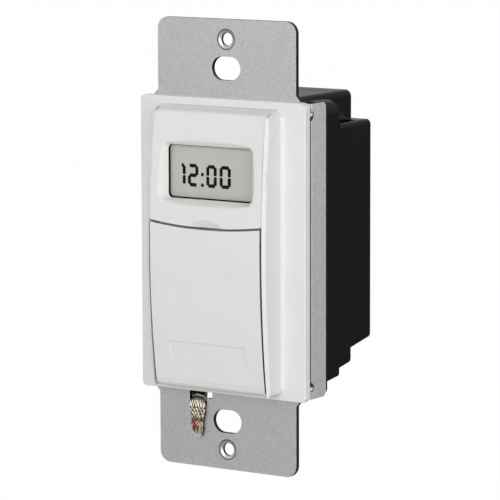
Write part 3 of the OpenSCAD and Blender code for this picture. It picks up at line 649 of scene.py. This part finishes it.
def panel_y(x, z, opened):
    """Depth of the panel's front; opened goes from 0 at the window to 1 at the dish's oval."""
    y = soft_max(bow_y(z), slope_y(x, z), EDGE_BLEND)
    y = soft_max(y, DISH_BACK - DISH_DEPTH * opened, DISH_BLEND)
    room = THUMB_SPHERE_R**2 - x * x - (z - THUMB_TOP + THUMB_R) ** 2
    if room > 0:
        y = soft_max(y, THUMB_Y + math.sqrt(room), THUMB_BLEND)
    return y + round_off(PANEL_SIDE - abs(x), SIDE_R) + round_off(z - split_z(x), LOW_R)


def panel_angles(outlines):
    """Directions of the panel's rays: through the outlines' points, evenly all round and down the slope."""
    angles = [math.atan2(z, x) for outline in outlines for x, z in outline]
    angles += [math.radians(360 * i / RAYS - 180) for i in range(RAYS)]
    for i in range(SLOPE_RAYS):
        a = math.atan2(PANEL_TOP - SLOPE_HEIGHT * i / SLOPE_RAYS - WINDOW_Z, PANEL_SIDE)
        angles += [a, math.pi - a]
    return sorted(set(round(a, RAY_DIGITS) for a in angles))


def build_panel():
    """Columns of points from the window's edge out to the panel's edge, then round to the back."""
    inner, outer, base, oval = rounded_points(*WINDOW), panel_points(), panel_points(GROOVE), oval_points()
    pane, holder = rounded_points(*PANE, HAIR, 1), rounded_points(*HOLDER, HAIR, 1)
    shares = [(i / FACE_RINGS) ** RING_POWER * FACE_SHARE for i in range(FACE_RINGS + 1)] + RIM_SHARES
    bm = bmesh.new()
    columns, slopes = [], []
    for a in panel_angles((inner, outer, pane, holder)):
        c, s = math.cos(a), math.sin(a)
        r_in, r_out, r_base, r_oval, r_pane, r_holder = (
            cast(outline, a) for outline in (inner, outer, base, oval, pane, holder)
        )
        way = [(r_holder, PANE_BACK), (r_pane, PANE_BACK), (r_pane, PANE_FRONT), (r_in, PANE_FRONT)]
        for share in shares:
            r = r_in + (r_out - r_in) * share
            way.append((r, panel_y(r * c, r * s + WINDOW_Z, (r - r_in) / (r_oval - r_in))))
        rim = len(way) - 1
        rim_x, rim_z = r_out * c, r_out * s + WINDOW_Z
        on_slope = abs(rim_x) > PANEL_SIDE - HAIR and slope_y(rim_x, rim_z) > bow_y(rim_z)
        step = min(way[rim][1] + (SLOPE_STEP if on_slope else GROOVE_STEP), DECK_FRONT - HAIR)
        way += [(r_out, step), (r_base, step + HAIR / 2), (r_base, DECK_FRONT), (r_holder, DECK_FRONT)]
        columns.append([point(bm, r * c, y, r * s + WINDOW_Z) for r, y in way])
        slopes.append(on_slope)
    # The panel's step beside the top slope gets the painted gap shade.
    for faces, left_slope, right_slope in zip(sweep(bm, columns), slopes, slopes[1:] + slopes[:1]):
        if left_slope and right_slope:
            faces[rim].material_index = 1
    return bm


piece("panel_face", build_panel(), (white, white_gap_shade), "base", ["display_panel"], sharp=50.0)


# Painted shade round the window's opening, as a black ring inside its edge

WINDOW_SHADE_LEFT, WINDOW_SHADE_RIGHT = 0.28, 0.06
WINDOW_SHADE_LOW, WINDOW_SHADE_HIGH = 0.32, 0.08
WINDOW_SHADE_FRONT = -8.12
WINDOW_SHADE_ROUND = 0.2


def build_window_shade():
    """A flat black ring inside the window's edge, wider on the left and below: painted shade where the edge
    shades the display.
    """
    w, h, r = WINDOW
    outer = rounded_points(w - 2 * HAIR, h - 2 * HAIR, r)
    inner = rounded_points(
        w - WINDOW_SHADE_LEFT - WINDOW_SHADE_RIGHT,
        h - WINDOW_SHADE_LOW - WINDOW_SHADE_HIGH,
        r - WINDOW_SHADE_ROUND,
        shift=((WINDOW_SHADE_LEFT - WINDOW_SHADE_RIGHT) / 2, (WINDOW_SHADE_LOW - WINDOW_SHADE_HIGH) / 2),
    )
    front, back = WINDOW_SHADE_FRONT, PANE_FRONT - HAIR
    bm = bmesh.new()
    columns = []
    for (xo, zo), (xi, zi) in zip(outer, inner):
        corners = ((xo, front, zo), (xi, front, zi), (xi, back, zi), (xo, back, zo))
        columns.append([point(bm, x, y, z + WINDOW_Z) for x, y, z in corners])
    sweep(bm, columns)
    return bm


piece("window_edge_shade", build_window_shade(), (ink_and_shade,), "base")


# Figures of the display

GLASS_FRONT = -7.35
INK_FRONT, INK_BACK = GLASS_FRONT - 0.03, GLASS_FRONT + 0.02
STROKE = 0.84
STROKE_GAP = 0.06
BLUNTNESS = 0.4
DIGIT_LOW, DIGIT_HIGH = 14.4, 19.7
FLAG_LEFT, FLAG_RIGHT = 0.15, 0.4
STROKES = {"1": "bch", "2": "abged", "0": "abcdef"}
FIGURES = (("1", -8.64, -7.29), ("2", -6.67, -3.74), ("0", -1.54, 1.36), ("0", 2.16, 5.26))
DOT_LEFT, DOT_RIGHT = -3.05, -2.23
DOTS_Z = (14.85, 17.35)


def bar(bm, x0, z0, x1, z1, width):
    """One stroke of a figure, with blunt points."""
    length = math.hypot(x1 - x0, z1 - z0)
    ux, uz = (x1 - x0) / length, (z1 - z0) / length
    half = width / 2
    cut = half * BLUNTNESS
    upper_side = [(0.0, 0.0), (cut, half), (length - cut, half)]
    lower_side = [(length, 0.0), (length - cut, -half), (cut, -half)]
    outline = upper_side + lower_side
    front, back = (
        [point(bm, x0 + ux * a - uz * b, y, z0 + uz * a + ux * b) for a, b in outline]
        for y in (INK_FRONT, INK_BACK)
    )
    bm.faces.new(front)
    bm.faces.new(list(reversed(back)))
    for i in range(len(outline)):
        j = (i + 1) % len(outline)
        bm.faces.new((front[i], front[j], back[j], back[i]))


def figure(bm, digit, left, right):
    """A figure between two sides, of the seven usual strokes and the flag of a 1."""
    half, gap = STROKE / 2, STROKE_GAP
    x0, x1 = left + half, right - half
    z0, z1 = DIGIT_LOW + half, DIGIT_HIGH - half
    mid = (z0 + z1) / 2
    places = {
        "a": (x0 + gap, z1, x1 - gap, z1),
        "b": (x1, z1 - gap, x1, mid + gap),
        "c": (x1, mid - gap, x1, z0 + gap),
        "d": (x0 + gap, z0, x1 - gap, z0),
        "e": (x0, mid - gap, x0, z0 + gap),
        "f": (x0, z1 - gap, x0, mid + gap),
        "g": (x0 + gap, mid, x1 - gap, mid),
        "h": (left + FLAG_LEFT, z1, right - FLAG_RIGHT, z1),
    }
    for stroke in STROKES[digit]:
        bar(bm, *places[stroke], STROKE)


def build_figures():
    """The display's time, with two dots between the hours and the minutes."""
    bm = bmesh.new()
    for digit, left, right in FIGURES:
        figure(bm, digit, left, right)
    for z in DOTS_Z:
        bar(bm, DOT_LEFT, z, DOT_RIGHT, z, DOT_RIGHT - DOT_LEFT)
    return bm


piece("display_figures", build_figures(), (ink_and_shade,), "base", sharp=20.0)


# Raised signs on the buttons

CAP_FRONT = -7.2
SIGN_LIFT, SIGN_THICKNESS = 0.03, 0.14
SIGN_ROUND = 0.04
SIGN_LONG, SIGN_WIDE, SIGN_DOT = 1.8, 0.42, 0.5
ROW_Z = -6.2
ROW_PITCH = 9.0
SIGNS = {
    "mode": (-ROW_PITCH, [(SIGN_DOT, SIGN_DOT)]),
    "plus": (0.0, [(SIGN_LONG, SIGN_WIDE), (SIGN_WIDE, SIGN_LONG)]),
    "minus": (ROW_PITCH, [(SIGN_LONG, SIGN_WIDE)]),
}


def build_sign(x, strokes):
    """A raised sign on a cap, made of square strokes."""
    bm = bmesh.new()
    y = CAP_FRONT - SIGN_LIFT
    for w, h in strokes:
        for v in bmesh.ops.create_cube(bm, size=1.0)["verts"]:
            v.co = Vector((x + v.co.x * w, y + v.co.y * SIGN_THICKNESS, ROW_Z + v.co.z * h)) * MM
    bmesh.ops.bevel(bm, geom=bm.edges[:], offset=SIGN_ROUND * MM, segments=2, affect="EDGES")
    return bm


for body, (x, strokes) in SIGNS.items():
    piece(body + "_sign", build_sign(x, strokes), (sign_ink,), body)


# Bare end of the ground wire: a fan of fine strands, gathered again where they are welded down

STRANDS = 9
GROUND_X = -8.08
STRAP_FRONT = -1.2
LEAD_END = Vector((-9.8, 1.27, -37.8))
ACROSS = Vector((0.906, 0.0, 0.423))
UPWARD = Vector((-0.338, -0.6, 0.725))
OUTWARD = Vector((0.254, -0.8, -0.544))
BORE_R = 1.62
HIDDEN, STRAIGHT = 0.2, 0.5  # a strand's way inside the insulation, and straight out of it
SLOT_X, SLOT_Y, SLOT_Z = -0.2, 0.6, -37.75  # where the strands bend over the slot's edge
SLOT_RISE, SLOT_LIFT = 0.45, 0.2
EAR_TOP_Z, TIP_Z = -38.6, -46.3
TIP_CURVE = 0.8
WAY_STEPS = 16
CROSSING_END = 0.66  # share of the way down on which strands cross
SLANT_START, SLANT_GROWTH = 0.7, 0.8
WAVES = 14
WELD_Z, WELD_RATE, WELD_LEAST = -43.5, 0.25, 0.5
FAN_TOP, FAN_NECK, FAN_END = -38.5, -42.2, -43.8
FAN_WIDE, FAN_NARROW = 2.2, 1.52
FAN_POWER = 1.5
TIP_FALL, TIP_LENGTH = 0.75, 2.4
DEPTHWISE = 0.2  # a shorter cross product means a wire along the depth, whose rim starts from another axis
ROUND_TRIP = 4  # a strand's way across the bundle and back, in half widths
TURN_DRAW, PHASE_DRAW, LIFT_DRAW = (0.85, 1.15), (0, 6.28), (0.85, 1.1)
TIP_DRAW, BARE_DRAW = (0.0, 0.3), (-0.1, 0.6)
draw = random.Random(7)


def tube(bm, path, radius, sides=8):
    """A round wire along a path."""
    rings = []
    for i, middle in enumerate(path):
        ahead = path[min(i + 1, len(path) - 1)] - path[max(i - 1, 0)]
        ahead.normalize()
        first = ahead.cross(Vector((0.0, 1.0, 0.0)))
        if first.length < DEPTHWISE:
            first = ahead.cross(Vector((1.0, 0.0, 0.0)))
        first.normalize()
        second = ahead.cross(first)
        turns = [2 * math.pi * k / sides for k in range(sides)]
        rim = [middle + (first * math.cos(a) + second * math.sin(a)) * radius for a in turns]
        rings.append([point(bm, *place) for place in rim])
    for one, two in zip(rings, rings[1:]):
        for k in range(sides):
            j = (k + 1) % sides
            bm.faces.new((one[k], one[j], two[j], two[k]))
    bm.faces.new(list(reversed(rings[0])))
    bm.faces.new(rings[-1])


def fan(z):
    """Half the width of the bundle at a height."""
    if z > FAN_NECK:
        fallen = max(0.0, (FAN_TOP - z) / (FAN_TOP - FAN_NECK))
        return FAN_WIDE - (FAN_WIDE - FAN_NARROW) * fallen**FAN_POWER
    return FAN_NARROW - TIP_FALL * max(0.0, (FAN_END - z) / TIP_LENGTH) ** 2


def fold(place):
    """Turns a strand back at the bundle's sides."""
    turned = (place + 1) % ROUND_TRIP
    return turned - 1 if turned < 2 else 3 - turned


def bend_through(points, steps=7):
    """Points along a smooth curve through the points given."""
    curve = []
    for i in range(len(points) - 1):
        p0, p1, p2, p3 = (points[min(max(i + k, 0), len(points) - 1)] for k in (-1, 0, 1, 2))
        second = p0 * 2 - p1 * 5 + p2 * 4 - p3
        third = p1 * 3 - p0 - p2 * 3 + p3
        for k in range(steps):
            t = k / steps
            curve.append((p1 * 2 + (p2 - p0) * t + second * t**2 + third * t**3) / 2)
    curve.append(points[-1])
    return curve


def build_strands(radius, lift, weave, slant, rise, spill=2.0, share=1.0):
    """A plait of strands out of the insulation, over the slot's edge and down the ear."""
    bm = bmesh.new()
    for i in range(STRANDS):
        first = ROUND_TRIP * (i + 0.25) / STRANDS - 1
        side = fold(first)
        turn, phase = draw.uniform(*TURN_DRAW), draw.uniform(*PHASE_DRAW)
        height = lift * draw.uniform(*LIFT_DRAW)
        end = TIP_Z + draw.uniform(*TIP_DRAW) + TIP_CURVE * side * side
        level = rise * BORE_R * math.sqrt(1 - side * side)
        front = STRAP_FRONT - radius - HAIR - height
        start = LEAD_END + ACROSS * (BORE_R * side) + UPWARD * level
        over_z = SLOT_Z + SLOT_RISE * level + SLOT_LIFT * height
        over = Vector((GROUND_X + SLOT_X + spill * side, front + SLOT_Y, over_z))
        points = [start - OUTWARD * HIDDEN, start + OUTWARD * STRAIGHT, over]
        for k in range(WAY_STEPS + 1):
            t = k / WAY_STEPS
            z = EAR_TOP_Z + (end - EAR_TOP_Z) * t
            way = min(t, CROSSING_END)
            place = share * fold(first + slant * turn * way * (SLANT_START + SLANT_GROWTH * way))
            flat = max(WELD_LEAST, 1 - max(0.0, WELD_Z - z) * WELD_RATE)
            wave = weave * math.sin(phase + WAVES * t)
            points.append(Vector((GROUND_X + place * fan(z), front + (1 - flat) * height - wave, z)))
        made = len(bm.faces)
        tube(bm, bend_through(points), radius)
        if place < draw.uniform(*BARE_DRAW):
            bm.faces.ensure_lookup_table()
            for face in bm.faces[made:]:
                face.material_index = 1
    return bm


upper = build_strands(radius=0.135, lift=0.66, weave=0.1, slant=-2.2, rise=1.0)
crossing = build_strands(radius=0.135, lift=0.48, weave=0.14, slant=-3.0, rise=0.7)
# A dense layer of thick dark strands under the others, as painted shade in the gaps between the strands.
under = build_strands(radius=0.28, lift=0.02, weave=0.0, slant=0.0, rise=0.2, spill=2.3, share=0.88)
piece("ground_wires", upper, (wire, bare_wire), "base", ["ground_strands"], sharp=60.0)
piece("ground_wires_crossing", crossing, (wire, bare_wire), "base", sharp=60.0)
piece("ground_wires_shade_under", under, (strand_gap_shade, strand_gap_shade), "base", sharp=60.0)


# Stage: a floor that the camera sees as white, a white studio, three lamps and the camera; sizes in metres

FLOOR_SIZE = 6.0
FLOOR_GAP = 0.2 * MM
FLOOR_GLOW = 0.99
SKY_LEVEL, SKY_OVERHEAD = 0.54, 0.24  # the studio's light from the sides and from above
LENS, SENSOR = 237.6, 36.0
CLIP_START = 0.01
EYE = Vector((420.98, -638.54, 107.72)) * MM
YAW, PITCH, ROLL = math.radians(33.039), math.radians(8.092), math.radians(-0.169)


def softbox(name, place, size, power):
    """A square lamp that faces the switch."""
    lamp = bpy.data.lights.new(name, "AREA")
    lamp.size = size
    lamp.energy = power
    holder = bpy.data.objects.new(name, lamp)
    bpy.context.scene.collection.objects.link(holder)
    holder.location = place
    holder.rotation_mode = "QUATERNION"
    holder.rotation_quaternion = (-Vector(place)).to_track_quat("-Z", "Y")


bpy.ops.mesh.primitive_plane_add(size=FLOOR_SIZE, location=(0, 0, cad_box[0].z - FLOOR_GAP))
floor = bpy.context.object
floor.name = "floor"
material, tree, bsdf = shader("floor", grey(0.76), 0.8)
rays = tree.nodes.new("ShaderNodeLightPath").outputs
glow = tree.nodes.new("ShaderNodeEmission")
mix = add(tree, "ShaderNodeMixShader", Fac=calculate(tree, "MULTIPLY", rays["Is Camera Ray"], FLOOR_GLOW))
tree.links.new(bsdf.outputs[0], mix.inputs[1])
tree.links.new(glow.outputs[0], mix.inputs[2])
tree.links.new(mix.outputs[0], tree.nodes["Material Output"].inputs["Surface"])
floor.data.materials.append(material)

world = bpy.data.worlds.new("studio")
bpy.context.scene.world = world
world.use_nodes = True
tree = world.node_tree
rays = tree.nodes.new("ShaderNodeLightPath").outputs
mirrored = calculate(tree, "MAXIMUM", rays["Is Glossy Ray"], rays["Is Transmission Ray"])
seen = calculate(tree, "MAXIMUM", rays["Is Camera Ray"], mirrored)
sky = remap(tree, coordinate(tree, "Z", "Generated"), 0.0, 1.0, SKY_LEVEL, SKY_OVERHEAD)
background = tree.nodes["Background"]
background.inputs["Color"].default_value = (1, 1, 1, 1)
tree.links.new(remap(tree, seen, 0.0, 1.0, sky, 1.0), background.inputs["Strength"])

softbox("key", (0.22, -0.9, 0.25), size=0.6, power=4.4)
softbox("fill", (0.88, -0.28, 0.18), size=0.7, power=3.4)
softbox("left", (-0.72, -0.6, 0.2), size=0.6, power=0.3)

camera = bpy.data.cameras.new("camera")
camera.sensor_width = SENSOR
camera.lens = LENS
camera.clip_start = CLIP_START
holder = bpy.data.objects.new("camera", camera)
bpy.context.scene.collection.objects.link(holder)
bpy.context.scene.camera = holder
ahead = Vector((-math.sin(YAW) * math.cos(PITCH), math.cos(YAW) * math.cos(PITCH), -math.sin(PITCH)))
level_right = Vector((math.cos(YAW), math.sin(YAW), 0.0))
level_up = level_right.cross(ahead)
right = level_right * math.cos(ROLL) + level_up * math.sin(ROLL)
up = level_up * math.cos(ROLL) - level_right * math.sin(ROLL)
stand = Matrix((right, up, -ahead)).transposed().to_4x4()
stand.translation = EYE
holder.matrix_world = stand

bpy.context.scene.view_settings.view_transform = "Standard"
